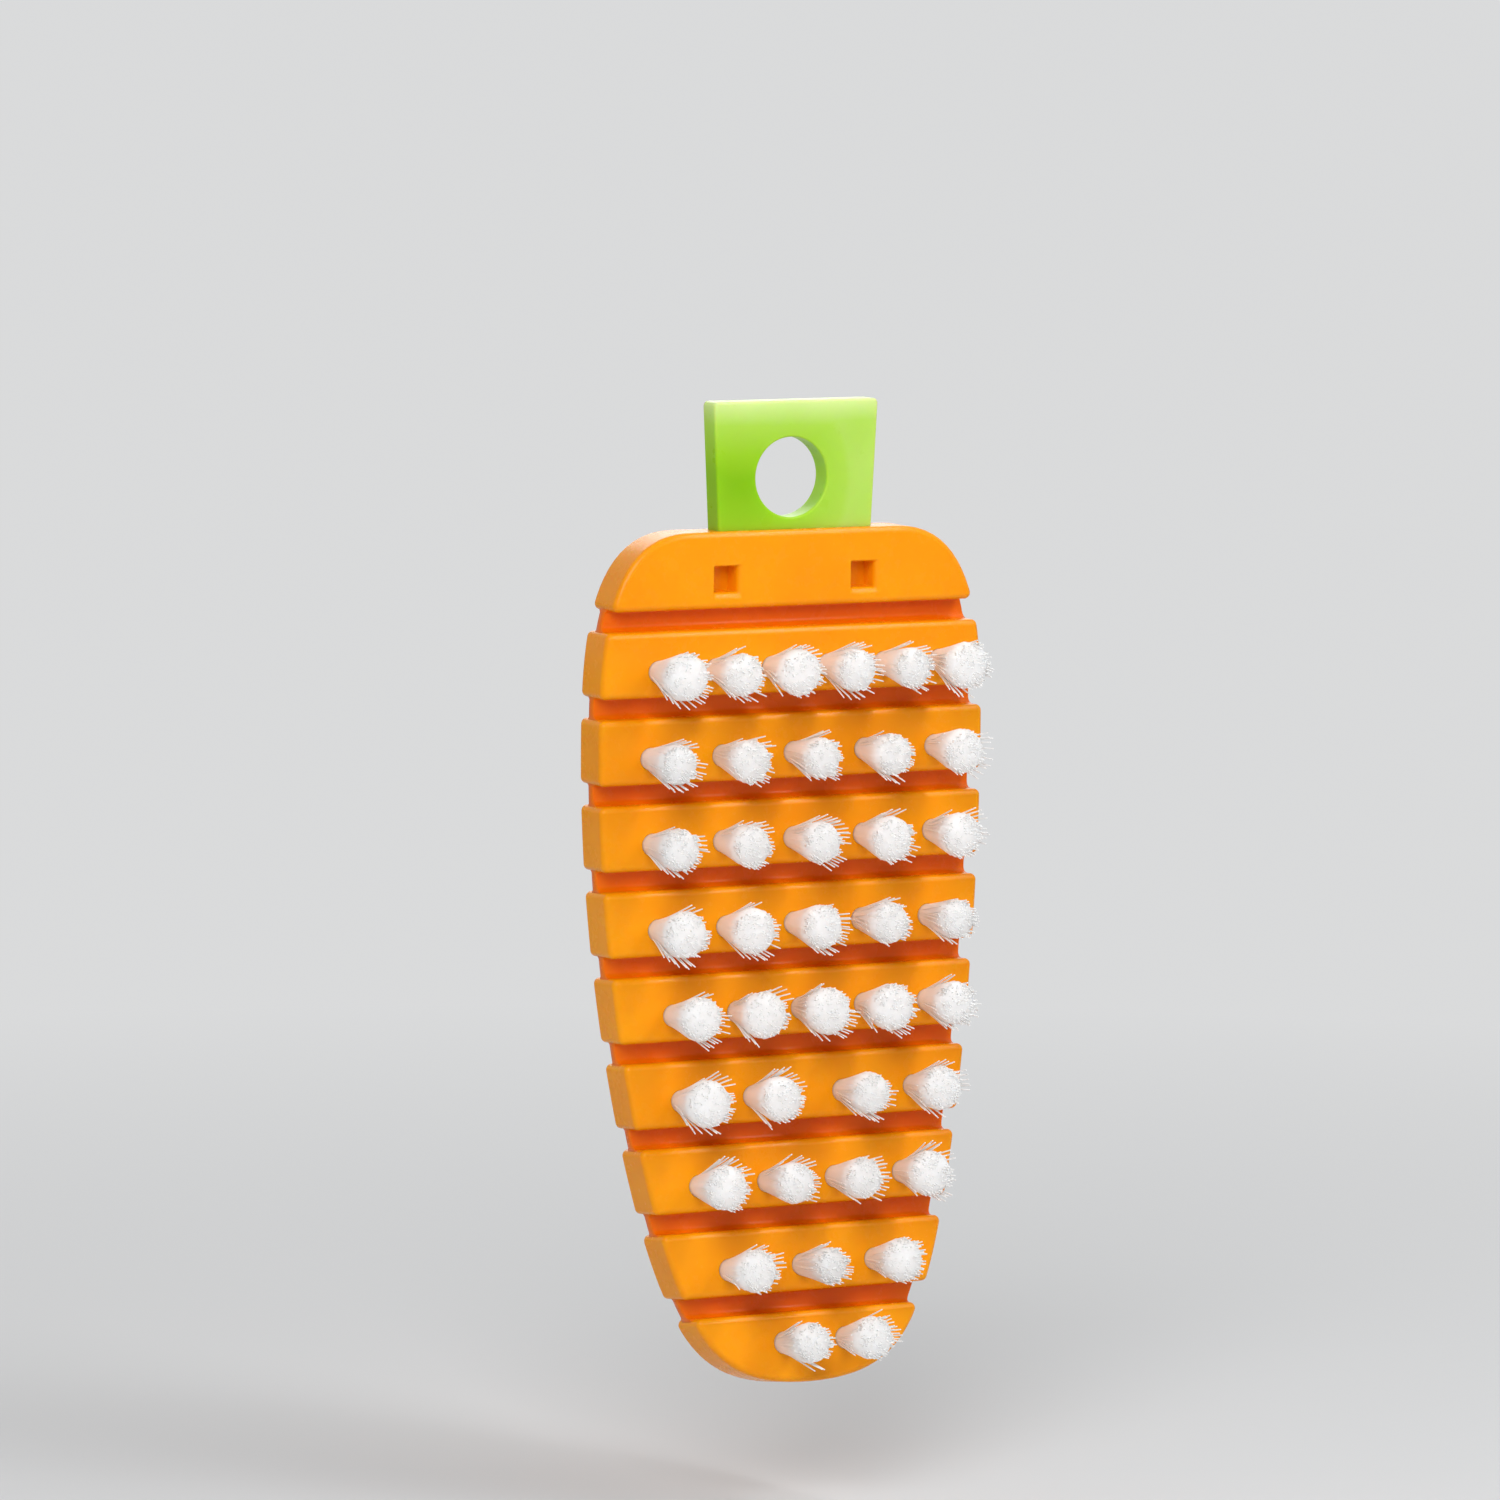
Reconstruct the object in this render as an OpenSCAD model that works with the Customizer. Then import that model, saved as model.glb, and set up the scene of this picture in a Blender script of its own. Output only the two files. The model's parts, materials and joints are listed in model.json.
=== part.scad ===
// Flexible vegetable brush in the shape of a carrot. A soft moulding is cut by deep grooves into a head and
// nine slats, a thin web at the bottom of each groove lets it curl round a vegetable, and tufts of bristle
// stand in the front of every slat. A flat tab with a round hole hangs it up.
// Origin: centre of the hanging hole. +Z is up, and the bristles point along -Y. Millimetres.

/* [Body] */
// Length of the moulding, from the top of the head to the tip
body_l = 139.3; // [112:0.1:170]
// Width of the moulding at its widest
body_w = 70; // [58:0.5:86]
// Thickness of the moulding, from the front face to the back face
body_t = 7.5; // [6:0.1:10]
// Height of the head above the first groove
head_h = 12.4; // [11.5:0.1:16]
// Width of the flat on top of the head, between its rounded shoulders
head_flat_w = 38; // [31:0.5:44]
// Distance from the top of the head down to the widest place
widest_drop = 34.9; // [28:0.1:42]
// Width where the tapering sides run into the rounded tip
nose_w = 47; // [38:0.5:56]
// Length of the rounded tip
nose_l = 17.9; // [14:0.1:22]
// Angle at which the sides enter the rounded tip, from the brush's length
nose_deg = 20; // [10:1:30]
// How much taller the last slat is than the others
tip_extra = 0.9; // [0:0.1:3]

/* [Grooves] */
// Height of the groove above each slat
groove_h = 3.4; // [2.6:0.1:4.2]
// Depth of the grooves in the front face
groove_front = 3.85; // [3.2:0.05:4.3]
// Thickness of the web that joins two slats
web_t = 1.8; // [1.2:0.1:2.2]
// How far the web's ends stand in from the slats' ends
web_inset = 0.5; // [0.3:0.1:1.5]
// First groove at which the hanging brush curls towards its bristles
curl_from = 3; // [1:1:9]
// Angle that each groove from there on is curled by at rest
curl_deg = 1.3; // [0:0.1:3]

/* [Windows] */
// Side of the two square blind windows in the head
window_w = 4.2; // [3:0.1:5.4]
// Depth of the windows
window_deep = 3.8; // [1:0.1:4.6]
// Distance between the two windows' centres
window_pitch = 25; // [22.4:0.1:32]
// Distance from the windows' lower edge to the first groove
window_sill = 2.6; // [1.2:0.1:3.2]

/* [Hanging tab] */
// Width of the tab along its top edge
tab_top_w = 30; // [20:0.1:35]
// Width of the tab where it enters the head
tab_low_w = 27.9; // [20:0.1:33]
// Thickness of the tab
tab_t = 4.2; // [2.5:0.1:5]
// Height of the tab above the centre of the hanging hole
tab_above = 12.4; // [9.8:0.1:16]
// Height of the hanging hole's centre above the head
tab_below = 8.4; // [7.8:0.1:14]
// How far the tab sits to the right of the hole and of the moulding's middle
tab_shift = 0.8; // [0:0.1:1.5]
// Radius of the tab's two upper corners
tab_corner_r = 0.8; // [0.3:0.1:3]
// Diameter of the hanging hole
hang_hole_d = 13; // [6:0.1:15]
// How deep the tab's full width is seated in the head
tab_seat = 2.6; // [1.5:0.1:3]
// Width of the narrower tongue below it, between the windows
tongue_w = 14; // [9:0.1:16]
// Depth to which the tongue reaches into the head
tongue_deep = 9.4; // [7.6:0.1:10]
// Side of the square hole in the tongue that the moulding fills
tongue_key = 4; // [2:0.1:4.4]

/* [Bristles] */
// Diameter of the blind hole that a tuft is set in
tuft_hole_d = 3.6; // [3:0.1:4.4]
// Thickness of the moulding left behind a tuft's hole
tuft_back = 2.5; // [1.5:0.1:3]
// Gap between a tuft's root and the wall of its hole
root_gap = 0.05; // [0.02:0.01:0.1]
// Length of the bristles in front of the slats
bristle_l = 11.5; // [8:0.1:14]
// How much shorter the shortest bristle of a tuft is
bristle_fray = 1.2; // [0:0.1:2]
// Distance from a row's end tufts to the slat's end
row_end = 9; // [7:0.1:11]
// Width that a tuft opens out to at its tips
tuft_open_w = 7.8; // [5:0.1:8.5]
// Radius of one strand
strand_r = 0.32; // [0.25:0.01:0.36]

/* [Anchors] */
// Length of the flat staple that holds a tuft down
anchor_l = 4.6; // [4.5:0.1:5.4]
// Height of the staple along its hole
anchor_h = 1.6; // [1:0.1:2]
// Thickness of the staple
anchor_t = 0.4; // [0.3:0.05:0.6]
// Distance from the hole's floor to the staple
anchor_lift = 0.7; // [0.4:0.1:1]

/* [Hidden] */
$fn = 48;

// Each slat's row, from the top one down: its tufts, how far it sits to the right of the middle, how much
// further in its end tufts stand, and how much further out from its middle its inner tufts stand
ROW_TUFTS = [6, 5, 5, 5, 5, 4, 4, 3, 2];
ROW_SHIFT = [1, 0, 0, 0, 1, 0, 0, -0.6, 0.9];
ROW_END_MORE = [0, 0, 0, 0, 0, 0, 0, 1.6, 3.1];
ROW_PART = [0, 0, 0, 0, 0, 1.1, 0, 0, 0];
SLATS = len(ROW_TUFTS);
// Share of a slat's height from its top down to its row, and the same on the last slat
row_share = 0.6;
row_share_tip = 0.46;
STRANDS = 12;
GOLDEN_DEG = 137.508;

// Heights
head_top = -tab_below;
head_low = head_top - head_h;
tip_z = head_top - body_l;
slat_h = (body_l - head_h - SLATS * groove_h - tip_extra) / SLATS;
function slat_top(k) = head_low - groove_h - (k - 1) * (slat_h + groove_h);
function slat_low(k) = k < 1 ? head_low : k < SLATS ? slat_top(k) - slat_h : tip_z;

// Depths
front_y = -body_t / 2;
back_y = body_t / 2;
web_front = front_y + groove_front;
tuft_deep = body_t - tuft_back;
// How far one solid is drawn past another before it is cut, and the height of the block that cuts a web
overlap = 1;
cut_h = 3;

// The outline's right half is three curves: the shoulder, the tapering side and the rounded tip
half_w = body_w / 2;
widest_z = head_top - widest_drop;
nose_z = tip_z + nose_l;
nose_dir = [-sin(nose_deg), -cos(nose_deg)];
// How fully each curve bulges, as shares of its own length or width
shoulder_share = 0.4;
side_share = 0.45;
reach_share = 0.15;
nose_share = 0.7;
flat_share = 0.315;
shoulder_pull = widest_drop * shoulder_share;
side_pull = (widest_z - nose_z) * side_share;
side_reach = (widest_z - nose_z) * reach_share;
nose_pull = nose_l * nose_share;
nose_flat = nose_w * flat_share;
CURVE_STEPS = 12;

function bezier(p, t) =
    pow(1 - t, 3) * p[0] + 3 * t * pow(1 - t, 2) * p[1] + 3 * t * t * (1 - t) * p[2] + pow(t, 3) * p[3];

SHOULDER = [[head_flat_w / 2, head_top], [half_w, head_top], [half_w, widest_z + shoulder_pull],
    [half_w, widest_z]];
SIDE = [[half_w, widest_z], [half_w, widest_z - side_pull], [nose_w / 2, nose_z] - side_reach * nose_dir,
    [nose_w / 2, nose_z]];
NOSE = [[nose_w / 2, nose_z], [nose_w / 2, nose_z] + nose_pull * nose_dir, [nose_flat, tip_z], [0, tip_z]];
right_edge = [
    for (curve = [SHOULDER, SIDE, NOSE])
        for (i = [0 : CURVE_STEPS - 1]) bezier(curve, i / CURVE_STEPS)
];

// Half of the outline's width at height z
function half_at(z, i = 1) =
    i > len(right_edge) - 2 || right_edge[i][1] <= z
    ? right_edge[i - 1][0] + (right_edge[i][0] - right_edge[i - 1][0])
        * (z - right_edge[i - 1][1]) / (right_edge[i][1] - right_edge[i - 1][1])
    : half_at(z, i + 1);

// Rows of tufts
function row_z(k) = slat_top(k) - slat_h * (k < SLATS ? row_share : row_share_tip);
function row_half(k) = half_at(row_z(k)) - row_end - ROW_END_MORE[k - 1];
function tuft_x(k, i) =
    let (share = 2 * i / (ROW_TUFTS[k - 1] - 1) - 1)
    ROW_SHIFT[k - 1] + row_half(k) * share + (abs(share) < 1 ? sign(share) * ROW_PART[k - 1] : 0);
root_r = tuft_hole_d / 2 - root_gap;
// How far the outermost strands stand in from the root's edge
strand_inset = 0.1;
strand_base_r = root_r - strand_r - strand_inset;
strand_lean = (tuft_open_w / 2 - strand_r - strand_base_r) / bristle_l;

// Where the web of groove k bends
function bend_at(k) = [0, web_front + web_t / 2, slat_low(k - 1) - groove_h / 2];
function bend_deg(k) = k < curl_from ? 0 : -curl_deg;

// The whole outline, its ends drawn in by inset
module outline(inset = 0) {
    right = [for (p = right_edge) [p[0] - inset, p[1]]];
    left = [for (i = [len(right) - 1 : -1 : 0]) [-right[i][0], right[i][1]]];
    polygon(concat(right, left));
}

// A band of the outline between two heights and two depths
module band(low, top, near_y, far_y, inset = 0) {
    translate([0, far_y, 0])
        rotate([90, 0, 0])
            linear_extrude(far_y - near_y)
                intersection() {
                    outline(inset);
                    translate([-body_w, low]) square([2 * body_w, top - low]);
                }
}

// Turns its children by the rest curl of groove k
module rest_turn(k) {
    translate(bend_at(k)) rotate([bend_deg(k), 0, 0]) translate(-bend_at(k)) children();
}

// Places its children with slat k, below every curled groove above it
module placed(k) {
    if (k < 1) children();
    else placed(k - 1) rest_turn(k) children();
}

// Places its children at tuft i of slat k, with +Z out of the front face
module at_tuft(k, i) {
    translate([tuft_x(k, i), front_y, row_z(k)]) rotate([90, 0, 0]) children();
}

module anchor() {
    translate([-anchor_l / 2, -anchor_t / 2, anchor_lift - tuft_deep]) cube([anchor_l, anchor_t, anchor_h]);
}

// The part of the tab inside the head
module tongue() {
    translate([tab_shift, tab_t / 2, 0])
        rotate([90, 0, 0])
            linear_extrude(tab_t)
                difference() {
                    union() {
                        translate([-tab_low_w / 2, head_top - tab_seat]) square([tab_low_w, tab_seat]);
                        translate([-tongue_w / 2, head_top - tongue_deep]) square([tongue_w, tongue_deep]);
                    }
                    translate([-tongue_key / 2, head_top - (tab_seat + tongue_deep + tongue_key) / 2])
                        square(tongue_key);
                }
}

module hanging_tab() {
    low_half = tab_low_w / 2;
    top_half = tab_top_w / 2;
    color("yellowgreen")
        union() {
            difference() {
                translate([tab_shift, tab_t / 2, 0])
                    rotate([90, 0, 0])
                        linear_extrude(tab_t)
                            union() {
                                polygon([
                                    [-low_half, head_top], [low_half, head_top],
                                    [top_half, tab_above - tab_corner_r],
                                    [top_half - tab_corner_r, tab_above],
                                    [tab_corner_r - top_half, tab_above],
                                    [-top_half, tab_above - tab_corner_r]
                                ]);
                                for (side = [-1, 1])
                                    translate([side * (top_half - tab_corner_r), tab_above - tab_corner_r])
                                        circle(tab_corner_r);
                            }
                rotate([90, 0, 0]) cylinder(h = 2 * tab_t, d = hang_hole_d, center = true);
            }
            tongue();
        }
}

module head_block() {
    color("orange")
        difference() {
            band(head_low, head_top, front_y, back_y);
            tongue();
            for (side = [-1, 1])
                translate([side * window_pitch / 2 - window_w / 2, front_y - overlap, head_low + window_sill])
                    cube([window_w, window_deep + overlap, window_w]);
        }
}

module slat(k) {
    color("orange")
        placed(k)
            difference() {
                band(slat_low(k), slat_top(k), front_y, back_y);
                for (i = [0 : ROW_TUFTS[k - 1] - 1])
                    at_tuft(k, i) {
                        translate([0, 0, -tuft_deep]) cylinder(h = tuft_deep + overlap, d = tuft_hole_d);
                        anchor();
                    }
            }
}

// The web is cut off square by the top of the slat below it
module flex_web(k) {
    color("darkorange")
        placed(k - 1)
            difference() {
                band(slat_top(k) - overlap, slat_low(k - 1), web_front, web_front + web_t, web_inset);
                rest_turn(k)
                    translate([-body_w, -body_t, slat_top(k) - cut_h])
                        cube([2 * body_w, 2 * body_t, cut_h]);
            }
}

// One tuft: a root that fills its hole round the staple, and strands that lean outwards
module tuft() {
    difference() {
        translate([0, 0, -tuft_deep]) cylinder(h = tuft_deep, r = root_r);
        anchor();
    }
    for (i = [0 : STRANDS - 1]) {
        out = sqrt((i + 0.5) / STRANDS) * strand_base_r;
        lean = atan(strand_lean * out / strand_base_r);
        length = bristle_l - bristle_fray * ((5 * i) % STRANDS) / STRANDS;
        rotate([0, 0, i * GOLDEN_DEG])
            translate([out, 0, 0])
                rotate([0, lean, 0])
                    translate([0, 0, -strand_r]) cylinder(h = length / cos(lean) + strand_r, r = strand_r, $fn = 3);
    }
}

module bristle_row(k) {
    color("white") placed(k) for (i = [0 : ROW_TUFTS[k - 1] - 1]) at_tuft(k, i) tuft();
}

module tuft_anchors(k) {
    color("silver") placed(k) for (i = [0 : ROW_TUFTS[k - 1] - 1]) at_tuft(k, i) anchor();
}

hanging_tab();
head_block();
for (k = [1 : SLATS]) {
    slat(k);
    flex_web(k);
    bristle_row(k);
    tuft_anchors(k);
}
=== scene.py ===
"""Looks of the flexible vegetable brush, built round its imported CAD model.

The sizes below are the construction's own, in millimetres, in its frame: origin at the centre of the
hanging hole, +Z up, bristles along -Y. Meshes are made in millimetres with the brush straight, then bent
to its resting curl and scaled to metres.
"""

import json
import math

import bmesh
import bpy
import numpy as np
from mathutils import Matrix, Vector
from mathutils.geometry import tessellate_polygon

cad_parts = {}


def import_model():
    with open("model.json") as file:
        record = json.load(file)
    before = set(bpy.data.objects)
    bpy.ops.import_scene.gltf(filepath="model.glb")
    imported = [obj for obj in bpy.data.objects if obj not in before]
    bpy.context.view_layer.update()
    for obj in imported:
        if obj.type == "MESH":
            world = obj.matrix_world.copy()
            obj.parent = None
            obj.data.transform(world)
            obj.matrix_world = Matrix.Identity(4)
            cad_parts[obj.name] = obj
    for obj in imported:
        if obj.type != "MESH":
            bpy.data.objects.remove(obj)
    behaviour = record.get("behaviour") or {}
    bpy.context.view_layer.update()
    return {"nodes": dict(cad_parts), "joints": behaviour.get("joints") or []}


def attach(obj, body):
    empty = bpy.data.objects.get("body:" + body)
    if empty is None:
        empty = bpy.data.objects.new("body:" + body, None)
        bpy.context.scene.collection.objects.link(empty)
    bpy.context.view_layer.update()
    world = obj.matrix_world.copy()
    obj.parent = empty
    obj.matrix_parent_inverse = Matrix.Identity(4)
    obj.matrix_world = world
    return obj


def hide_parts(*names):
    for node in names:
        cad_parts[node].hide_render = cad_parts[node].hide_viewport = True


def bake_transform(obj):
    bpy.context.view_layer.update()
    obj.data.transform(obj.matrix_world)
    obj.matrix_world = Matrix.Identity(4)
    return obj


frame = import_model()

MM = 0.001

# Moulding. Its nose is the lower end, and the sides lean in by NOSE_DEG where it starts
BODY_L = 139.3
BODY_W = 70.0
BODY_T = 7.5
HEAD_H = 12.4
HEAD_FLAT_W = 38.0
WIDEST_DROP = 34.9
NOSE_W = 47.0
NOSE_L = 17.9
NOSE_DEG = 20.0
TIP_EXTRA = 0.9
GROOVE_H = 3.4
GROOVE_FRONT = 3.85
WEB_T = 1.8
WEB_INSET = 0.5
FRONT_Y = -BODY_T / 2
BACK_Y = BODY_T / 2

# How fully each curve of the outline bulges, as shares of its own length or width
SHOULDER_SHARE = 0.4
SIDE_SHARE = 0.45
REACH_SHARE = 0.15
NOSE_SHARE = 0.7
FLAT_SHARE = 0.315

# Windows in the head
WINDOW_W = 4.2
WINDOW_DEEP = 3.8
WINDOW_PITCH = 25.0
WINDOW_SILL = 2.6
WINDOW_CORNER_R = 0.3
# A window's rim: how far it reaches (right, up) and (left, down) from the opening, and its depth
WINDOW_RIM_HIGH = (1.0, 0.35)
WINDOW_RIM_LOW = (0.35, 1.1)
WINDOW_RIM_DEEP = 1.0

# Hanging tab, with a tongue inside the head and a square key hole through the tongue
TAB_TOP_W = 30.0
TAB_LOW_W = 27.9
TAB_T = 4.2
TAB_ABOVE = 12.4
TAB_BELOW = 8.4
TAB_SHIFT = 0.8
TAB_SEAT = 2.6
TAB_CORNER_R = 0.8
TAB_EDGE_R = 0.4
HANG_HOLE_D = 13.0
HANG_RIM_R = 0.35
TONGUE_W = 14.0
TONGUE_DEEP = 9.4
TONGUE_KEY = 4.0
KEY_CORNER_R = 0.3
KEY_RIM_R = 0.1

# Rows of tufts: how many in each slat's row, how far the row sits to the right of the middle, how much
# further in its end tufts stand, and how much further out from its middle its inner tufts stand
ROW_TUFTS = [6, 5, 5, 5, 5, 4, 4, 3, 2]
ROW_SHIFT = [1, 0, 0, 0, 1, 0, 0, -0.6, 0.9]
ROW_END_MORE = [0, 0, 0, 0, 0, 0, 0, 1.6, 3.1]
ROW_PART = [0, 0, 0, 0, 0, 1.1, 0, 0, 0]
# How far in from the outline the end tufts stand, and how far down its slat a row stands, as a share of
# SLAT_H, on every slat but the last and on the last
ROW_END = 9.0
ROW_SHARE = 0.6
ROW_SHARE_TIP = 0.46
TUFT_HOLE_D = 3.6
TUFT_RIM_R = 0.15
TUFT_DEEP = 5.0
BRISTLE_L = 11.5
SLATS = len(ROW_TUFTS)

# Rounded edges of the mouldings
FRONT_R = 0.95
BACK_R = 0.45
CORNER_R = 1.0
# Outline points nearer than this to a cut end make way for its rounded corner
CORNER_ROOM = 1.6
# Corners that turn by less than this stay as they are
CORNER_LEAST_DEG = 35
# How far beyond a rounding its first and last rings lie, so that the faces beside it look flat
SUPPORT = 0.12
# Faces that meet at more than this show a sharp edge
SHARP_DEG = 38

# Steps along an outline's curve, a rounding, a slat's side and the round holes
CURVE_STEPS = 24
ARC_STEPS = 6
SLAT_SIDE_POINTS = 6
HOLE_STEPS = 40
HANG_HOLE_STEPS = 72
QUARTER_TURN = [math.radians(90 * s / ARC_STEPS) for s in range(ARC_STEPS + 1)]

HEAD_TOP = -TAB_BELOW
HEAD_LOW = HEAD_TOP - HEAD_H
TIP_Z = HEAD_TOP - BODY_L
SLAT_H = (BODY_L - HEAD_H - SLATS * GROOVE_H - TIP_EXTRA) / SLATS
WEB_FRONT = FRONT_Y + GROOVE_FRONT
WEB_BACK = WEB_FRONT + WEB_T
WEB_MIDDLE = WEB_FRONT + WEB_T / 2


def slat_top(k):
    return HEAD_LOW - GROOVE_H - (k - 1) * (SLAT_H + GROOVE_H)


def slat_low(k):
    """The lower end of slat k, where 0 stands for the head."""
    if k < 1:
        return HEAD_LOW
    return slat_top(k) - SLAT_H if k < SLATS else TIP_Z


# Outline of the moulding

def bezier(points):
    """A cubic curve's points, without its last one."""
    t = np.arange(CURVE_STEPS)[:, None] / CURVE_STEPS
    p = np.array(points, float)
    return (1 - t) ** 3 * p[0] + 3 * t * (1 - t) ** 2 * p[1] + 3 * t**2 * (1 - t) * p[2] + t**3 * p[3]


def right_edge():
    """The outline's right half as (x, z), from the shoulder's start down to the tip."""
    half, widest, nose_z = BODY_W / 2, HEAD_TOP - WIDEST_DROP, TIP_Z + NOSE_L
    nose = np.array([NOSE_W / 2, nose_z])
    way = np.array([-math.sin(math.radians(NOSE_DEG)), -math.cos(math.radians(NOSE_DEG))])
    side_l = widest - nose_z
    shoulder = [(HEAD_FLAT_W / 2, HEAD_TOP), (half, HEAD_TOP),
                (half, widest + SHOULDER_SHARE * WIDEST_DROP), (half, widest)]
    side = [(half, widest), (half, widest - SIDE_SHARE * side_l), nose - REACH_SHARE * side_l * way, nose]
    tip = [nose, nose + NOSE_SHARE * NOSE_L * way, (FLAT_SHARE * NOSE_W, TIP_Z), (0, TIP_Z)]
    return np.vstack([bezier(shoulder), bezier(side), bezier(tip), [[0, TIP_Z]]])


EDGE = right_edge()


def half_at(z):
    """Half of the outline's width at height z."""
    return np.interp(-np.asarray(z), -EDGE[:, 1], EDGE[:, 0])


# Rest curl

def joint_of(k):
    return next(j for j in frame["joints"] if j["name"] == f"flex_{k}")


def bend_point(k):
    """The bending axis of groove k in the straight brush, in millimetres."""
    return Vector((0, WEB_MIDDLE, slat_low(k - 1) - GROOVE_H / 2))


def turn_about(point, degrees):
    """A turn about the line along X through the point."""
    move = Matrix.Translation(point)
    return move @ Matrix.Rotation(math.radians(degrees), 4, "X") @ move.inverted()


def rest_angles():
    """Degrees that each groove is turned by at rest, from the joints' places in the frame."""
    points = [Vector(joint_of(k)["pos_m"]) for k in range(1, SLATS + 1)]
    lean = [math.degrees(math.atan2(b.y - a.y, a.z - b.z)) for a, b in zip(points, points[1:])]
    turns = [b - a for a, b in zip([0.0] + lean, lean)]
    return turns + [turns[-1]]


REST_TURN = rest_angles()


def placed(k):
    """The matrix that carries segment k of the straight brush to its place at rest."""
    m = Matrix.Identity(4)
    for i in range(1, k + 1):
        m = m @ turn_about(bend_point(i), REST_TURN[i - 1])
    return m


# Mesh building

def add_object(name, data, matrix=Matrix.Identity(4)):
    thing = bpy.data.objects.new(name, data)
    thing.matrix_world = matrix
    bpy.context.scene.collection.objects.link(thing)
    return thing


class Shell:
    """Collects rings of points and the faces between them."""

    def __init__(self):
        self.points = []
        self.faces = []

    def add(self, points):
        """Adds points, and returns their numbers."""
        start = len(self.points)
        self.points += points
        return list(range(start, len(self.points)))

    def ring(self, loop, y):
        return self.add([(x, y, z) for x, z in loop])

    def bridge(self, a, b):
        n = len(a)
        for i in range(n):
            j = (i + 1) % n
            self.faces.append((a[i], a[j], b[j], b[i]))

    def loft(self, rings):
        for a, b in zip(rings, rings[1:]):
            self.bridge(a, b)

    def cap(self, rings):
        """Fills the flat space inside the first ring and outside the others."""
        loops = [[Vector(self.points[i]) for i in r] for r in rings]
        flat = [i for r in rings for i in r]
        self.faces += [tuple(flat[i] for i in t) for t in tessellate_polygon(loops)]

    def close_ends(self, rings):
        self.cap([rings[0]])
        self.cap([rings[-1]])

    def build(self, name, matrix, material, sharp_deg=SHARP_DEG):
        """The mesh object, in metres, smooth but for edges that turn by more than sharp_deg."""
        mesh = bpy.data.meshes.new(name)
        mesh.from_pydata([matrix @ Vector(p) * MM for p in self.points], [], self.faces)
        bm = bmesh.new()
        bm.from_mesh(mesh)
        bmesh.ops.recalc_face_normals(bm, faces=bm.faces)
        bm.to_mesh(mesh)
        bm.free()
        mesh.polygons.foreach_set("use_smooth", [True] * len(mesh.polygons))
        mesh.set_sharp_from_angle(angle=math.radians(sharp_deg))
        mesh.materials.append(material)
        return add_object(name, mesh)


def inset(loop, d):
    """A closed loop that runs anticlockwise, seen from the front, moved inwards by d."""
    p = np.array(loop, float)
    e = np.roll(p, -1, axis=0) - p
    n = np.stack([-e[:, 1], e[:, 0]], axis=1) / np.linalg.norm(e, axis=1)[:, None]
    before = np.roll(n, 1, axis=0)
    return p + d * (before + n) / (1 + (before * n).sum(axis=1))[:, None]


def round_corners(loop, r):
    """The loop with its sharp corners made into arcs of radius r."""
    p, out = np.array(loop, float), []
    for i in range(len(p)):
        a, b = p[i] - p[i - 1], p[(i + 1) % len(p)] - p[i]
        a, b = a / np.linalg.norm(a), b / np.linalg.norm(b)
        turn = math.atan2(a[0] * b[1] - a[1] * b[0], a @ b)
        if abs(turn) < math.radians(CORNER_LEAST_DEG):
            out.append(p[i])
            continue
        start = p[i] - a * r * math.tan(abs(turn) / 2)
        centre = start + np.array([-a[1], a[0]]) * math.copysign(r, turn)
        v = start - centre
        for s in range(ARC_STEPS + 1):
            c, q = math.cos(turn * s / ARC_STEPS), math.sin(turn * s / ARC_STEPS)
            out.append(centre + [c * v[0] - q * v[1], q * v[0] + c * v[1]])
    return np.array(out)


def circle(x, z, r, steps=HOLE_STEPS):
    a = np.arange(steps) * 2 * math.pi / steps
    return np.stack([x + r * np.cos(a), z + r * np.sin(a)], axis=1)


def square(x, z, side):
    """A square loop centred on (x, z)."""
    h = side / 2
    return np.array([(x - h, z - h), (x + h, z - h), (x + h, z + h), (x - h, z + h)])


def quarter_round(r):
    """(inset, depth) pairs round an edge of radius r, from the flat face to the wall."""
    arc = [(r * (1 - math.sin(a)), r * (1 - math.cos(a))) for a in QUARTER_TURN]
    return [(r + SUPPORT, 0), *arc, (0, r + SUPPORT)]


def edge_rings(shell, loop, r, near_y, inwards):
    """Rings round a plate's edge, from the flat face at near_y to the wall."""
    return [shell.ring(inset(loop, d), near_y + inwards * deep) for d, deep in quarter_round(r)]


def even_rim(loop, r):
    """A hole's rim, as its loop on the face, its loop below the rounding, and the rounding's depth."""
    return inset(loop, -r), loop, r


def rim_rings(shell, rim, near_y, inwards):
    """Rings round a hole's rim, from the flat face at near_y to the wall."""
    outer, inner, r = rim
    rings = []
    for d, deep in quarter_round(r):
        rings.append(shell.ring(inner + (outer - inner) * d / r, near_y + inwards * deep))
    return rings


def plate(name, loop, front, back, front_r, back_r, holes, matrix, material):
    """A moulded plate with rounded edges. A hole is (rim, depth), or goes through with depth None."""
    shell = Shell()
    rings = edge_rings(shell, loop, front_r, front, 1) + edge_rings(shell, loop, back_r, back, -1)[::-1]
    shell.loft(rings)
    front_cap, back_cap = [rings[0]], [rings[-1]]
    for rim, depth in holes:
        wall = rim_rings(shell, rim, front, 1)
        if depth is None:
            wall += rim_rings(shell, rim, back, -1)[::-1]
        else:
            wall.append(shell.ring(rim[1], front + depth))
        shell.loft(wall)
        front_cap.append(wall[0])
        if depth is None:
            back_cap.append(wall[-1])
        else:
            shell.cap([wall[-1]])
    shell.cap(front_cap)
    shell.cap(back_cap)
    return shell.build(name, matrix, material)


# Materials. Noise scales are in features per metre, bump and scattering depths in metres

# The range that noise mostly lies in
NOISE_LOW = 0.3
NOISE_HIGH = 0.7

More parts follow.
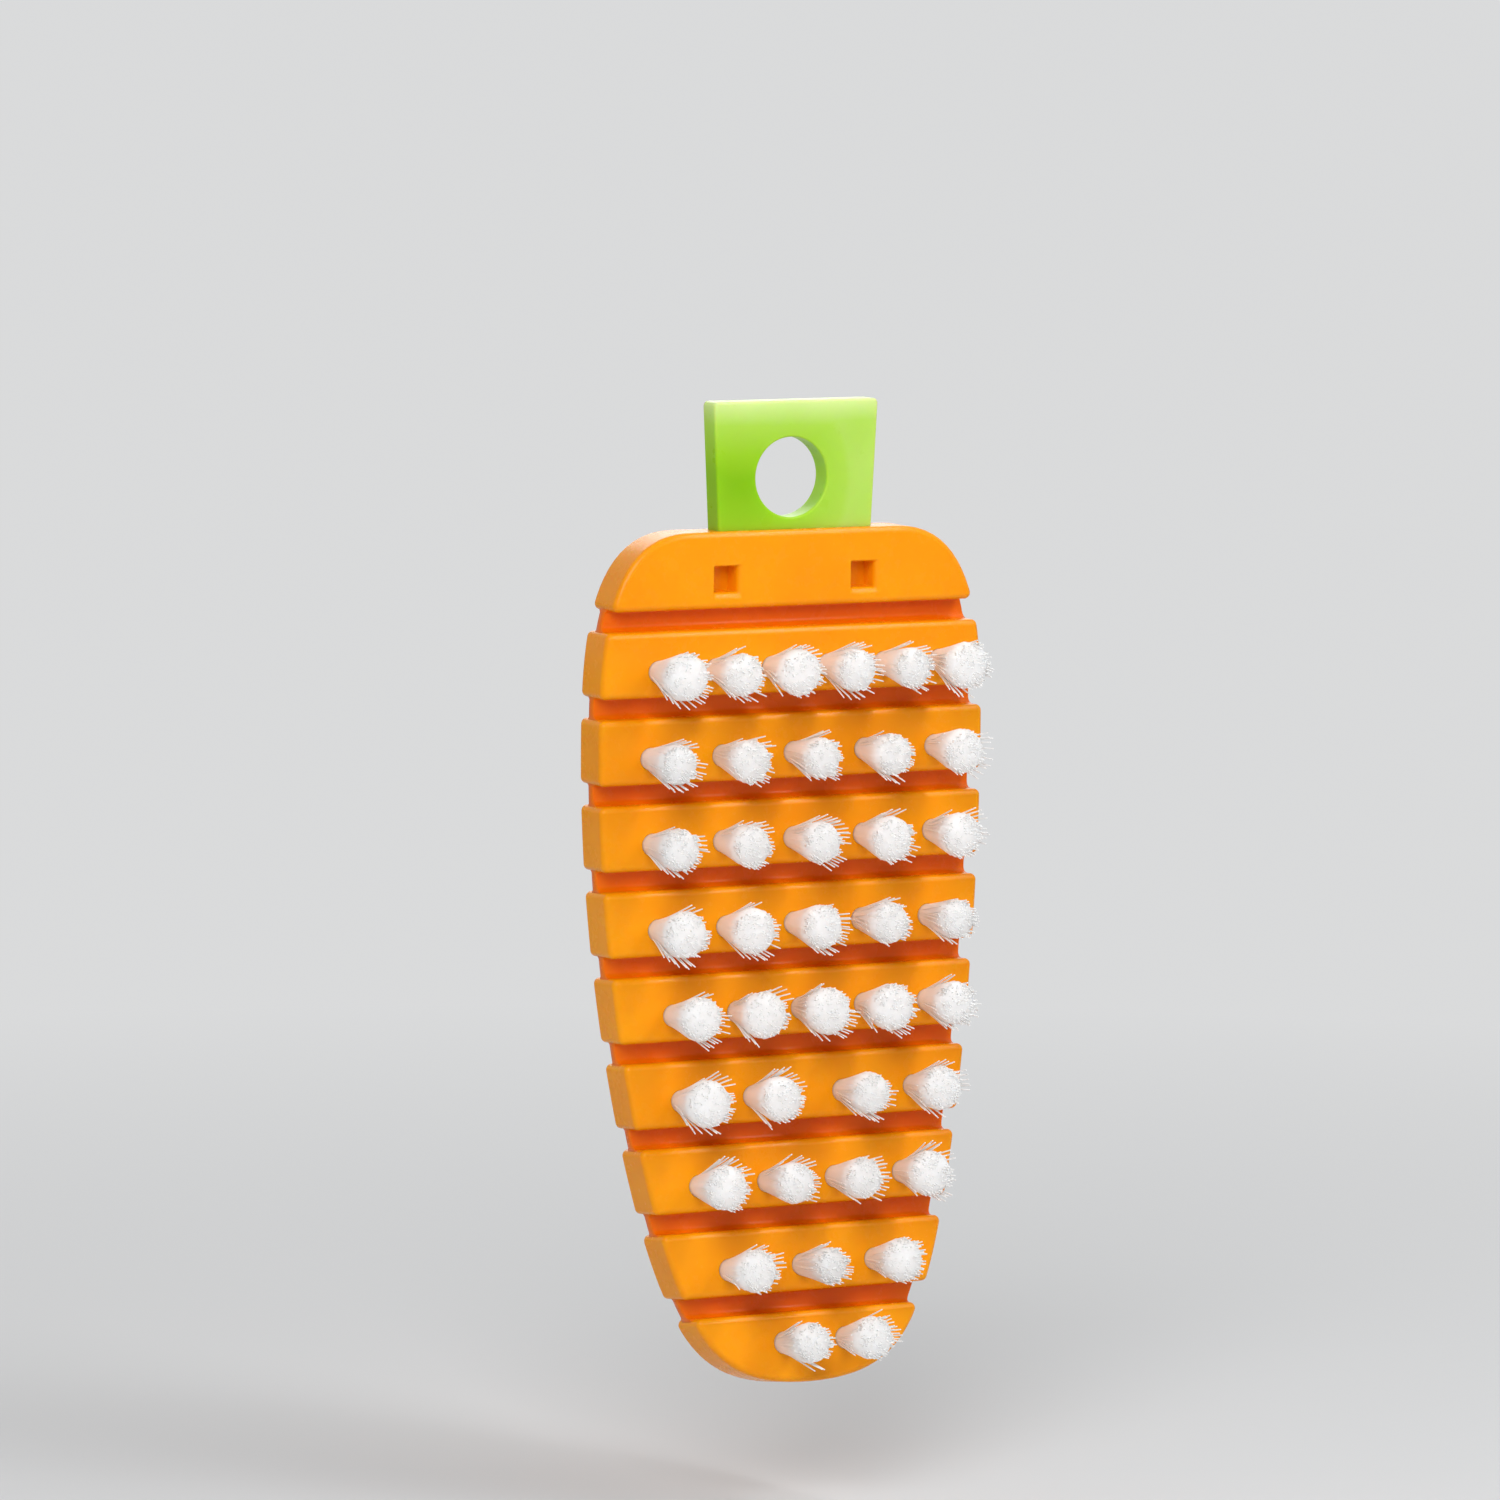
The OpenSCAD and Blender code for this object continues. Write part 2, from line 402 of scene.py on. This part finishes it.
ORANGE_SHADES = ((0.88, 0.285, 0.0008), (0.94, 0.345, 0.0015))
# Painted shade: the deeper, redder orange of the webs down in the grooves
GROOVE_SHADE_ORANGE_SHADES = ((0.82, 0.15, 0.0006), (0.88, 0.185, 0.001))
WHITE_SHADES = ((0.90, 0.895, 0.885), (0.94, 0.94, 0.935))
STEEL_SHADES = ((0.50, 0.50, 0.52), (0.66, 0.66, 0.68))
ORANGE_FLOW_DEEP = 0.00012
ORANGE_PEEL_DEEP = 0.000012

# The tab's colours from its painted shadow left of the hole to its painted light at its edges and top, as
# (how far along, colour)
GREEN_SHADOW_TO_LIGHT = [
    (0.0, (0.21, 0.48, 0.002)),
    (0.35, (0.32, 0.59, 0.018)),
    (0.7, (0.42, 0.67, 0.075)),
    (1.0, (0.66, 0.80, 0.32)),
]
GREEN_FLOW_DEEP = 0.00006
# Where the tab's painted shadow is deepest, the distances from there over which it lightens, and the height
# from which painted light lightens it upwards, in metres
TAB_PAINTED_SHADOW_SPOT = (-0.009, 0, -0.001)
TAB_SHADOW_FADE = (0.001, 0.02)
TAB_PAINTED_LIGHT_FROM_Z = -0.001
# How far along its colours the painted light takes the tab away from the shadow and at its top, and how much
# its clouding adds
TAB_SIDE_PAINTED_LIGHT = 0.7
TAB_TOP_PAINTED_LIGHT = 0.95
TAB_CLOUD_SHADE = 0.08

# Share of the light that scatters and how deep, in a loose filament and in the packed middle of a tuft
LOOSE_SUBSURFACE = (0.2, 0.0006)
PACKED_SUBSURFACE = (1.0, 0.006)


def nodes_of(name):
    """A new material, its node tree and its shader."""
    material = bpy.data.materials.new(name)
    material.use_nodes = True
    tree = material.node_tree
    return material, tree, tree.nodes["Principled BSDF"]


def set_inputs(node, values):
    for name, value in values.items():
        node.inputs[name].default_value = value


def noise(tree, scale, detail, roughness=0.5, stretch=(1, 1, 1)):
    """Noise over the object's own coordinates."""
    place = tree.nodes.new("ShaderNodeTexCoord")
    mapping = tree.nodes.new("ShaderNodeMapping")
    set_inputs(mapping, {"Scale": stretch})
    tree.links.new(place.outputs["Object"], mapping.inputs["Vector"])
    texture = tree.nodes.new("ShaderNodeTexNoise")
    set_inputs(texture, {"Scale": scale, "Detail": detail, "Roughness": roughness})
    tree.links.new(mapping.outputs["Vector"], texture.inputs["Vector"])
    return texture.outputs["Fac"]


def ramp(tree, value, stops):
    node = tree.nodes.new("ShaderNodeValToRGB")
    while len(node.color_ramp.elements) < len(stops):
        node.color_ramp.elements.new(0.5)
    for element, (at, colour) in zip(node.color_ramp.elements, stops):
        element.position = at
        element.color = (*colour, 1)
    tree.links.new(value, node.inputs["Fac"])
    return node.outputs["Color"]


def mottle(tree, value, shades):
    """A colour that goes from one shade to the other with the noise."""
    return ramp(tree, value, list(zip((NOISE_LOW, NOISE_HIGH), shades)))


def spread(tree, value, low, high, start=NOISE_LOW, end=NOISE_HIGH):
    """The value between start and end, carried over to between low and high."""
    node = tree.nodes.new("ShaderNodeMapRange")
    set_inputs(node, {"From Min": start, "From Max": end, "To Min": low, "To Max": high})
    tree.links.new(value, node.inputs["Value"])
    return node.outputs["Result"]


def combine(tree, operation, a, b):
    node = tree.nodes.new("ShaderNodeMath")
    node.operation = operation
    tree.links.new(a, node.inputs[0])
    tree.links.new(b, node.inputs[1])
    return node.outputs[0]


def distance_from(tree, point):
    """How far a place on the object is from the point, in metres."""
    place = tree.nodes.new("ShaderNodeTexCoord")
    away = tree.nodes.new("ShaderNodeVectorMath")
    away.operation = "DISTANCE"
    away.inputs[1].default_value = point
    tree.links.new(place.outputs["Object"], away.inputs[0])
    return away.outputs["Value"]


def bump(tree, shader, layers):
    """Adds (height, depth) layers of bump to the shader."""
    normal = None
    for height, depth in layers:
        node = tree.nodes.new("ShaderNodeBump")
        set_inputs(node, {"Distance": depth})
        tree.links.new(height, node.inputs["Height"])
        if normal:
            tree.links.new(normal, node.inputs["Normal"])
        normal = node.outputs["Normal"]
    tree.links.new(normal, shader.inputs["Normal"])


def cover(tree, shader, colour, roughness):
    tree.links.new(colour, shader.inputs["Base Color"])
    tree.links.new(roughness, shader.inputs["Roughness"])


def orange_moulding(name, shades):
    """Soft plastic that lets a little light through, with faint flow marks and handling scuffs."""
    material, tree, shader = nodes_of(name)
    cloud = noise(tree, scale=45, detail=4)
    scuff = noise(tree, scale=260, detail=6, roughness=0.65)
    cover(tree, shader, mottle(tree, cloud, shades), spread(tree, scuff, low=0.2, high=0.32))
    flow = noise(tree, scale=60, detail=2, stretch=(0.25, 1, 1))
    peel = noise(tree, scale=1400, detail=2)
    bump(tree, shader, [(flow, ORANGE_FLOW_DEEP), (peel, ORANGE_PEEL_DEEP)])
    set_inputs(shader, {
        "Subsurface Weight": 0.3,
        "Subsurface Radius": (1.0, 0.3, 0.02),
        "Subsurface Scale": 0.002,
        "IOR": 1.49,
        "Specular IOR Level": 0.2,
    })
    return material


def green_plastic_painted_light():
    """Translucent leaf-green plastic, darkened by painted shadow left of the hole and lightened by painted
    light away from there and towards its top.
    """
    material, tree, shader = nodes_of("green_tab")
    # Painted shadow left of the hole, lightening with distance from there
    away = spread(tree, distance_from(tree, TAB_PAINTED_SHADOW_SPOT), 0.0, TAB_SIDE_PAINTED_LIGHT, *TAB_SHADOW_FADE)
    place = tree.nodes.new("ShaderNodeTexCoord")
    axes = tree.nodes.new("ShaderNodeSeparateXYZ")
    tree.links.new(place.outputs["Object"], axes.inputs[0])
    # Painted light, paler towards the top
    height = spread(tree, axes.outputs["Z"], 0.0, TAB_TOP_PAINTED_LIGHT, TAB_PAINTED_LIGHT_FROM_Z, TAB_ABOVE * MM)
    painted_light = combine(tree, "MAXIMUM", away, height)
    cloud = spread(tree, noise(tree, scale=55, detail=2), 0.0, TAB_CLOUD_SHADE)
    shadow_and_light_colour = ramp(tree, combine(tree, "ADD", painted_light, cloud), GREEN_SHADOW_TO_LIGHT)
    scuff = noise(tree, scale=300, detail=5, roughness=0.6)
    cover(tree, shader, shadow_and_light_colour, spread(tree, scuff, low=0.26, high=0.36))
    bump(tree, shader, [(noise(tree, scale=70, detail=2), GREEN_FLOW_DEEP)])
    set_inputs(shader, {
        "Subsurface Weight": 0.6,
        "Subsurface Radius": (0.6, 1.0, 0.15),
        "Subsurface Scale": 0.004,
        "IOR": 1.5,
        "Specular IOR Level": 0.15,
    })
    return material


def white_filament(name, subsurface):
    """Satin nylon, slightly warmer along some filaments, that light scatters in."""
    material, tree, shader = nodes_of(name)
    cloud = noise(tree, scale=900, detail=2, stretch=(1, 0.2, 1))
    grain = noise(tree, scale=5000, detail=2)
    cover(tree, shader, mottle(tree, cloud, WHITE_SHADES), spread(tree, grain, low=0.4, high=0.55))
    weight, depth = subsurface
    set_inputs(shader, {
        "Subsurface Weight": weight,
        "Subsurface Radius": (1.0, 0.95, 0.9),
        "Subsurface Scale": depth,
    })
    return material


def staple_steel():
    """Drawn flat wire."""
    material, tree, shader = nodes_of("anchor_steel")
    drawn = noise(tree, scale=3000, detail=4, stretch=(0.05, 1, 1))
    cover(tree, shader, mottle(tree, drawn, STEEL_SHADES), spread(tree, drawn, low=0.3, high=0.45))
    set_inputs(shader, {"Metallic": 1.0})
    return material


ORANGE = orange_moulding("orange_moulding", ORANGE_SHADES)
# The webs get a deeper, redder orange than the slats: painted shade for the grooves they sit in
GROOVE_SHADE_ORANGE = orange_moulding("orange_web_painted_shade", GROOVE_SHADE_ORANGE_SHADES)
GREEN = green_plastic_painted_light()
WHITE = white_filament("bristles", LOOSE_SUBSURFACE)
# Light spreads further through a tuft's packed middle than through a loose filament
PACKED_WHITE = white_filament("packed_bristles", PACKED_SUBSURFACE)
STEEL = staple_steel()


# Head, slats and tab

NEAR_ZERO = 1e-6


def closed_loop(right):
    """A loop from its right half, listed from the top down; anticlockwise seen from the front."""
    right = np.array(right)
    left = right[::-1] * [-1, 1]
    if abs(right[-1][0]) < NEAR_ZERO:
        left = left[1:]
    return np.vstack([right, left])[::-1]


def window(x, z):
    """A window's rim, which slopes further below the opening and to its right."""
    opening = round_corners(square(x, z, WINDOW_W), WINDOW_CORNER_R)
    out = (opening - [x, z]) / (WINDOW_W / 2)
    return opening + out * np.where(out > 0, WINDOW_RIM_HIGH, WINDOW_RIM_LOW), opening, WINDOW_RIM_DEEP


def head():
    body = EDGE[EDGE[:, 1] > HEAD_LOW + CORNER_ROOM]
    loop = round_corners(closed_loop([*body, (half_at(HEAD_LOW), HEAD_LOW)]), CORNER_R)
    z = HEAD_LOW + WINDOW_SILL + WINDOW_W / 2
    windows = [(window(side * WINDOW_PITCH / 2, z), WINDOW_DEEP) for side in (-1, 1)]
    piece = plate("head_moulding", loop, FRONT_Y, BACK_Y, FRONT_R, BACK_R, windows, placed(0), ORANGE)
    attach(piece, "head")
    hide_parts("head_block")


def row_z(k):
    return slat_top(k) - SLAT_H * (ROW_SHARE if k < SLATS else ROW_SHARE_TIP)


def tuft_places(k):
    """(x, z) of each tuft of slat k, on the front face of the straight brush."""
    z, n = row_z(k), ROW_TUFTS[k - 1]
    reach = half_at(z) - ROW_END - ROW_END_MORE[k - 1]
    places = []
    for i in range(n):
        share = 2 * i / (n - 1) - 1
        part = np.sign(share) * ROW_PART[k - 1] if abs(share) < 1 else 0
        places.append((ROW_SHIFT[k - 1] + reach * share + part, z))
    return places


def slat(k):
    top, low = slat_top(k), slat_low(k)
    if k < SLATS:
        z = np.linspace(top, low, SLAT_SIDE_POINTS)
        right = np.stack([half_at(z), z], axis=1)
    else:
        body = EDGE[EDGE[:, 1] < top - CORNER_ROOM]
        right = np.vstack([[half_at(top), top], body])
    loop = round_corners(closed_loop(right), CORNER_R)
    holes = [(even_rim(circle(x, z, TUFT_HOLE_D / 2), TUFT_RIM_R), TUFT_DEEP) for x, z in tuft_places(k)]
    piece = plate(f"slat_{k}_moulding", loop, FRONT_Y, BACK_Y, FRONT_R, BACK_R, holes, placed(k), ORANGE)
    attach(piece, f"segment_{k}")
    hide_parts(f"slat_{k}")


def tab():
    seat, tongue = HEAD_TOP - TAB_SEAT, HEAD_TOP - TONGUE_DEEP
    right = [(TAB_TOP_W / 2, TAB_ABOVE), (TAB_LOW_W / 2, HEAD_TOP), (TAB_LOW_W / 2, seat),
             (TONGUE_W / 2, seat), (TONGUE_W / 2, tongue)]
    loop = round_corners(closed_loop(right), TAB_CORNER_R) + [TAB_SHIFT, 0]
    key = square(TAB_SHIFT, HEAD_TOP - (TAB_SEAT + TONGUE_DEEP) / 2, TONGUE_KEY)
    holes = [(even_rim(circle(0, 0, HANG_HOLE_D / 2, HANG_HOLE_STEPS), HANG_RIM_R), None),
             (even_rim(round_corners(key, KEY_CORNER_R), KEY_RIM_R), None)]
    piece = plate("tab_plate", loop, -TAB_T / 2, TAB_T / 2, TAB_EDGE_R, TAB_EDGE_R, holes, placed(0), GREEN)
    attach(piece, "head")
    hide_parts("hanging_tab")


# Webs

WEB_FILLET = 0.45
# The fillet in front, where the web meets the slat below it
WEB_FOOT_FILLET = 1.1
# How far a web runs into the slats above and below it
WEB_SINK = 0.5
WEB_STEPS = 14
# Rounding of a web's ends, as (distance from the end, share of the thickness)
WEB_END = [(0.0, 0.75), (0.12, 0.95), (0.3, 1.0)]


def fillet(y, outwards, z, inwards, r):
    """A fillet's points, from the slat's face at height z to the web's face at y."""
    return [(y + outwards * r * (1 - math.sin(a)), z + inwards * r * (1 - math.cos(a))) for a in QUARTER_TURN]


def web_side(y, outwards, high, low, foot_r):
    """One side of a web from the top down, with a fillet into the slats above and below."""
    top, foot = fillet(y, outwards, high, -1, WEB_FILLET), fillet(y, outwards, low, 1, foot_r)[::-1]
    flat = [(y, z) for z in np.linspace(high - WEB_FILLET, low + foot_r, WEB_STEPS)[1:-1]]
    return [(top[0][0], high + WEB_SINK), *top, *flat, *foot, (foot[-1][0], low - WEB_SINK)]


def smooth_step(t):
    t = min(1.0, max(0.0, t))
    return t * t * (3 - 2 * t)


def web(k):
    high, low = slat_low(k - 1), slat_top(k)
    front = web_side(WEB_FRONT, -1, high, low, WEB_FOOT_FILLET)
    profile = front + web_side(WEB_BACK, 1, high, low, WEB_FILLET)[::-1]
    above = placed(k - 1)

    def bent(x, y, z):
        share = smooth_step((high - z) / (high - low))
        return above @ turn_about(bend_point(k), share * REST_TURN[k - 1]) @ Vector((x, y, z))

    shell = Shell()
    rings = []
    ends = [(-1, d, s) for d, s in WEB_END] + [(1, d, s) for d, s in reversed(WEB_END)]
    for end, back_off, share in ends:
        rings.append(shell.add([
            bent(end * (half_at(z) - WEB_INSET - back_off), WEB_MIDDLE + (y - WEB_MIDDLE) * share, z)
            for y, z in profile]))
    shell.loft(rings)
    shell.close_ends(rings)
    # The webs' orange carries painted groove shade
    piece = shell.build(f"web_{k}_moulding", Matrix.Identity(4), GROOVE_SHADE_ORANGE)
    end = above @ Vector((0, WEB_MIDDLE, low)) * MM
    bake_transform(piece)
    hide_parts(f"flex_web_{k}")


# Tufts

# Row k's random draws start from TUFT_SEED + k
TUFT_SEED = 100
FILAMENTS = 200
FILAMENT_R = 0.14
FILAMENT_SIDES = 5
FILAMENT_RINGS = 6
FILAMENT_SHARP_DEG = 80
# A filament's radius at its tip, as a share of its own, and the angle that spaces filaments evenly
TIP_TAPER = 0.75
GOLDEN_DEG = 137.508
# Radius and depth of a tuft's root in its hole, and its share of that radius at the bottom
ROOT_R = 1.64
ROOT_DEEP = 4.0
ROOT_TAPER = 0.92
# How far a tuft's outer filaments reach from its middle at the tips, from the tightest tuft to the widest,
# the share of that on the lowest rows, and how late along their length they spread
FAN_R = (3.5, 4.3)
LOW_FAN = 0.92
LOW_ROWS = 2
FAN_POWER = 1.12
# Filaments lean together in clumps, stray a little, bow sideways and differ in length
CLUMPS = 14
CLUMP_PULL = 0.25
SCATTER = 0.03
BOW = 0.14
LENGTHS = (0.94, 1.01)
# Bundles of filaments that stand off from the edge of a tuft: how many, how large, and how far off
STRAY_BUNDLES = (3, 7)
STRAY_SIZE = (3, 7)
STRAY_REACH = (1.12, 1.32)
# The packed middle of a tuft, between whose filaments no gap shows: its radius at the root, its shares of
# the filaments' reach and length, the furrows down its sides, and its end as (share of its radius, drop)
CORE_SIDES = 72
CORE_STEPS = 7
CORE_ROOT_R = 1.78
CORE_REACH = 0.9
CORE_L = 0.95
CORE_FURROW = 0.06
CORE_END = [(1.0, 2.0), (0.98, 1.3), (0.92, 0.75), (0.8, 0.3), (0.6, 0.08), (0.3, 0.0)]


def core(random, reach):
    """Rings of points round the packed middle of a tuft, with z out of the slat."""
    a = np.arange(CORE_SIDES) * 2 * math.pi / CORE_SIDES
    furrow = random.normal(0, CORE_FURROW, CORE_SIDES)
    end_r, end_z = reach * CORE_REACH, BRISTLE_L * CORE_L
    profile = [(CORE_ROOT_R, -ROOT_DEEP, 0)]
    for s in np.linspace(0, 1, CORE_STEPS)[:-1]:
        profile.append((CORE_ROOT_R + (end_r - CORE_ROOT_R) * s**FAN_POWER, (end_z - CORE_END[0][1]) * s, s))
    profile += [(end_r * share, end_z - drop, share) for share, drop in CORE_END]
    rings = []
    for r, z, cut in profile:
        reached = r + furrow * cut
        rings.append(np.stack([reached * np.cos(a), reached * np.sin(a), np.full(CORE_SIDES, z)], axis=1))
    return rings


def filament_paths(random, reach):
    """Paths of one tuft's filaments as [filament, ring, xyz], with z out of the slat."""
    i = np.arange(FILAMENTS)
    radius = np.sqrt((i + 0.5) / FILAMENTS)
    angle = i * math.radians(GOLDEN_DEG) + random.uniform(0, 2 * math.pi)
    disc = np.stack([radius * np.cos(angle), radius * np.sin(angle)], axis=1)
    clumps = disc[random.choice(FILAMENTS, CLUMPS, replace=False)]
    nearest = clumps[np.argmin(((disc[:, None] - clumps[None]) ** 2).sum(axis=2), axis=1)]
    fan = disc + CLUMP_PULL * (nearest - disc) + random.normal(0, SCATTER, disc.shape)
    for _ in range(random.integers(*STRAY_BUNDLES)):
        way = random.uniform(0, 2 * math.pi)
        outermost = np.argsort(-(disc @ [math.cos(way), math.sin(way)]))
        bundle = outermost[:random.integers(*STRAY_SIZE)]
        fan[bundle] = disc[bundle] * random.uniform(*STRAY_REACH)
    base, tip = disc * ROOT_R, fan * reach
    length = BRISTLE_L * random.uniform(*LENGTHS, FILAMENTS)
    sideways = np.linalg.norm(tip - base, axis=1)
    height = np.sqrt(length**2 - sideways**2)
    bow = random.normal(0, BOW, (FILAMENTS, 2))
    paths = np.zeros((FILAMENTS, FILAMENT_RINGS, 3))
    paths[:, 0, :2] = base * ROOT_TAPER
    paths[:, 0, 2] = -ROOT_DEEP
    for ring, s in enumerate(np.linspace(0, 1, FILAMENT_RINGS - 1), start=1):
        paths[:, ring, :2] = base + (tip - base) * s**FAN_POWER + bow * 2 * s * (1 - s)
        paths[:, ring, 2] = height * s
    return paths


def tubes(paths, radii):
    """Closed tubes along the paths, as points and faces."""
    count, rings, _ = paths.shape
    ahead = np.gradient(paths, axis=1)
    ahead /= np.linalg.norm(ahead, axis=2, keepdims=True)
    side = np.cross(ahead, [0.0, 1.0, 0.0])
    side /= np.linalg.norm(side, axis=2, keepdims=True)
    up = np.cross(side, ahead)
    a = np.arange(FILAMENT_SIDES) * 2 * math.pi / FILAMENT_SIDES
    spokes = side[:, :, None] * np.cos(a)[:, None] + up[:, :, None] * np.sin(a)[:, None]
    points = (paths[:, :, None] + spokes * radii[None, :, None, None]).reshape(-1, 3)
    faces = []
    for f in range(count):
        first = f * rings * FILAMENT_SIDES
        for r in range(rings - 1):
            for s in range(FILAMENT_SIDES):
                a0 = first + r * FILAMENT_SIDES + s
                a1 = first + r * FILAMENT_SIDES + (s + 1) % FILAMENT_SIDES
                faces.append((a0, a1, a1 + FILAMENT_SIDES, a0 + FILAMENT_SIDES))
        last = first + (rings - 1) * FILAMENT_SIDES
        faces.append(tuple(range(last, last + FILAMENT_SIDES)))
        faces.append(tuple(range(first + FILAMENT_SIDES - 1, first - 1, -1)))
    return points, faces


def on_face(x, z, points):
    """Points whose z is out of the slat, moved to stand on its front face at (x, z)."""
    return [(x + p[0], FRONT_Y - p[2], z + p[1]) for p in points]


def tufts(k):
    random = np.random.default_rng(TUFT_SEED + k)
    cores, strands = Shell(), Shell()
    radii = np.full(FILAMENT_RINGS, FILAMENT_R)
    radii[-1] *= TIP_TAPER
    fan_share = LOW_FAN if k > SLATS - LOW_ROWS else 1
    for x, z in tuft_places(k):
        reach = random.uniform(*FAN_R) * fan_share
        rings = [cores.add(on_face(x, z, ring)) for ring in core(random, reach)]
        cores.loft(rings)
        cores.close_ends(rings)
        points, faces = tubes(filament_paths(random, reach), radii)
        first = len(strands.points)
        strands.add(on_face(x, z, points))
        strands.faces += [tuple(first + i for i in face) for face in faces]
    pieces = [cores.build(f"tuft_cores_{k}", placed(k), PACKED_WHITE),
              strands.build(f"tufts_{k}", placed(k), WHITE, FILAMENT_SHARP_DEG)]
    for piece in pieces:
        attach(piece, f"segment_{k}")
        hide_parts(f"bristle_row_{k}")


def staples(k):
    for slot in frame["nodes"][f"tuft_anchors_{k}"].material_slots:
        slot.material = STEEL


tab()
head()
for number in range(1, SLATS + 1):
    slat(number)
    web(number)
    tufts(number)
    staples(number)


# Stage

# The camera's place, in degrees and millimetres, how far it sees, in metres, and its focal length as
# pixels of a 1500-pixel frame
CAMERA_AZIMUTH = -27.73
CAMERA_ELEVATION = 6.37
CAMERA_ROLL = 0.54
CAMERA_DISTANCE = 1423.0
CAMERA_AIM = (-6.05, 0.0, -44.34)
CAMERA_FAR = 50
FOCAL_PX = 8783.0
FRAME_PX = 1500.0
SENSOR_MM = 36.0

# The floor, in metres: how far below the brush it lies, its half width, and the distances from the brush
# between which it fades into the plain background
FLOOR_DROP = 0.02
FLOOR_HALF = 12.0
FLOOR_FADE = (0.2, 0.6)
FLOOR_ROUGHNESS = 0.9
FLOOR_COLOUR = (0.68, 0.685, 0.69, 1)
PALE = (0.7, 0.705, 0.71, 1)
SKY_COLOUR = (0.97, 0.985, 1.0, 1)
SKY_LIGHT = 0.3

# Soft boxes: name, place and size along the slats and across them, in metres, and watts
LAMPS = [
    ("key", (-0.55, -0.8, 0.55), (0.6, 0.6), 7.8),
    ("right", (0.42, -0.7, 0.5), (0.2, 0.6), 2.2),
    ("strip", (0.42, -0.27, 0.68), (0.08, 0.7), 2.2),
    ("rim", (0.3, 0.9, 0.4), (0.6, 0.6), 2),
]
LAMP_AIM = (0, 0, -0.07)


def facing(place, right, up, back):
    """The matrix of a camera or lamp at a place, from its own axes."""
    return Matrix.Translation(place) @ Matrix((right, up, back)).transposed().to_4x4()


def camera():
    a, e, roll = map(math.radians, (CAMERA_AZIMUTH, CAMERA_ELEVATION, CAMERA_ROLL))
    back = Vector((math.sin(a) * math.cos(e), -math.cos(a) * math.cos(e), math.sin(e)))
    right = Vector((math.cos(a), math.sin(a), 0))
    up = back.cross(right)
    right, up = right * math.cos(roll) + up * math.sin(roll), up * math.cos(roll) - right * math.sin(roll)
    data = bpy.data.cameras.new("camera")
    data.sensor_width = SENSOR_MM
    data.lens = FOCAL_PX / FRAME_PX * SENSOR_MM
    data.clip_end = CAMERA_FAR
    place = (Vector(CAMERA_AIM) + back * CAMERA_DISTANCE) * MM
    bpy.context.scene.camera = add_object("camera", data, facing(place, right, up, back))


def lamp(name, place, size, watts):
    """A soft box at a place, turned to the brush."""
    data = bpy.data.lights.new(name, "AREA")
    data.shape = "RECTANGLE"
    data.size, data.size_y = size
    data.energy = watts
    back = (Vector(place) - Vector(LAMP_AIM)).normalized()
    along = (Vector((1, 0, 0)) - back * back.x).normalized()
    add_object(name, data, facing(place, along, back.cross(along), back))


def mix_shaders(tree, share, first, second, output):
    """Shows the second shader in place of the first, by its share."""
    mix = tree.nodes.new("ShaderNodeMixShader")
    for source, socket in zip((share, first, second), mix.inputs):
        tree.links.new(source, socket)
    tree.links.new(mix.outputs[0], output)


def floor_paint():
    """Pale paint that keeps the brush's shadow and fades into the background further off."""
    material, tree, shader = nodes_of("floor")
    set_inputs(shader, {"Base Color": FLOOR_COLOUR, "Roughness": FLOOR_ROUGHNESS})
    far = spread(tree, distance_from(tree, (0, 0, 0)), 0.0, 1.0, *FLOOR_FADE)
    path = tree.nodes.new("ShaderNodeLightPath")
    plain = tree.nodes.new("ShaderNodeEmission")
    set_inputs(plain, {"Color": PALE})
    shown = combine(tree, "MULTIPLY", far, path.outputs["Is Camera Ray"])
    surface = tree.nodes["Material Output"].inputs["Surface"]
    mix_shaders(tree, shown, shader.outputs[0], plain.outputs[0], surface)
    return material


def floor():
    mesh = bpy.data.meshes.new("floor")
    z, far = TIP_Z * MM - FLOOR_DROP, FLOOR_HALF
    mesh.from_pydata([(-far, -far, z), (far, -far, z), (far, far, z), (-far, far, z)], [], [(0, 1, 2, 3)])
    mesh.materials.append(floor_paint())
    piece = add_object("floor", mesh)


def world():
    """Even light from all round, behind a plain pale background."""
    sky = bpy.data.worlds.new("studio")
    bpy.context.scene.world = sky
    sky.use_nodes = True
    tree = sky.node_tree
    light = tree.nodes["Background"]
    set_inputs(light, {"Color": SKY_COLOUR, "Strength": SKY_LIGHT})
    plain = tree.nodes.new("ShaderNodeBackground")
    set_inputs(plain, {"Color": PALE})
    path = tree.nodes.new("ShaderNodeLightPath")
    mirrored = combine(tree, "MAXIMUM", path.outputs["Is Glossy Ray"], path.outputs["Is Transmission Ray"])
    shown = combine(tree, "MAXIMUM", path.outputs["Is Camera Ray"], mirrored)
    surface = tree.nodes["World Output"].inputs["Surface"]
    mix_shaders(tree, shown, light.outputs[0], plain.outputs[0], surface)


camera()
for soft_box in LAMPS:
    lamp(*soft_box)
floor()
world()
bpy.context.scene.view_settings.view_transform = "Standard"
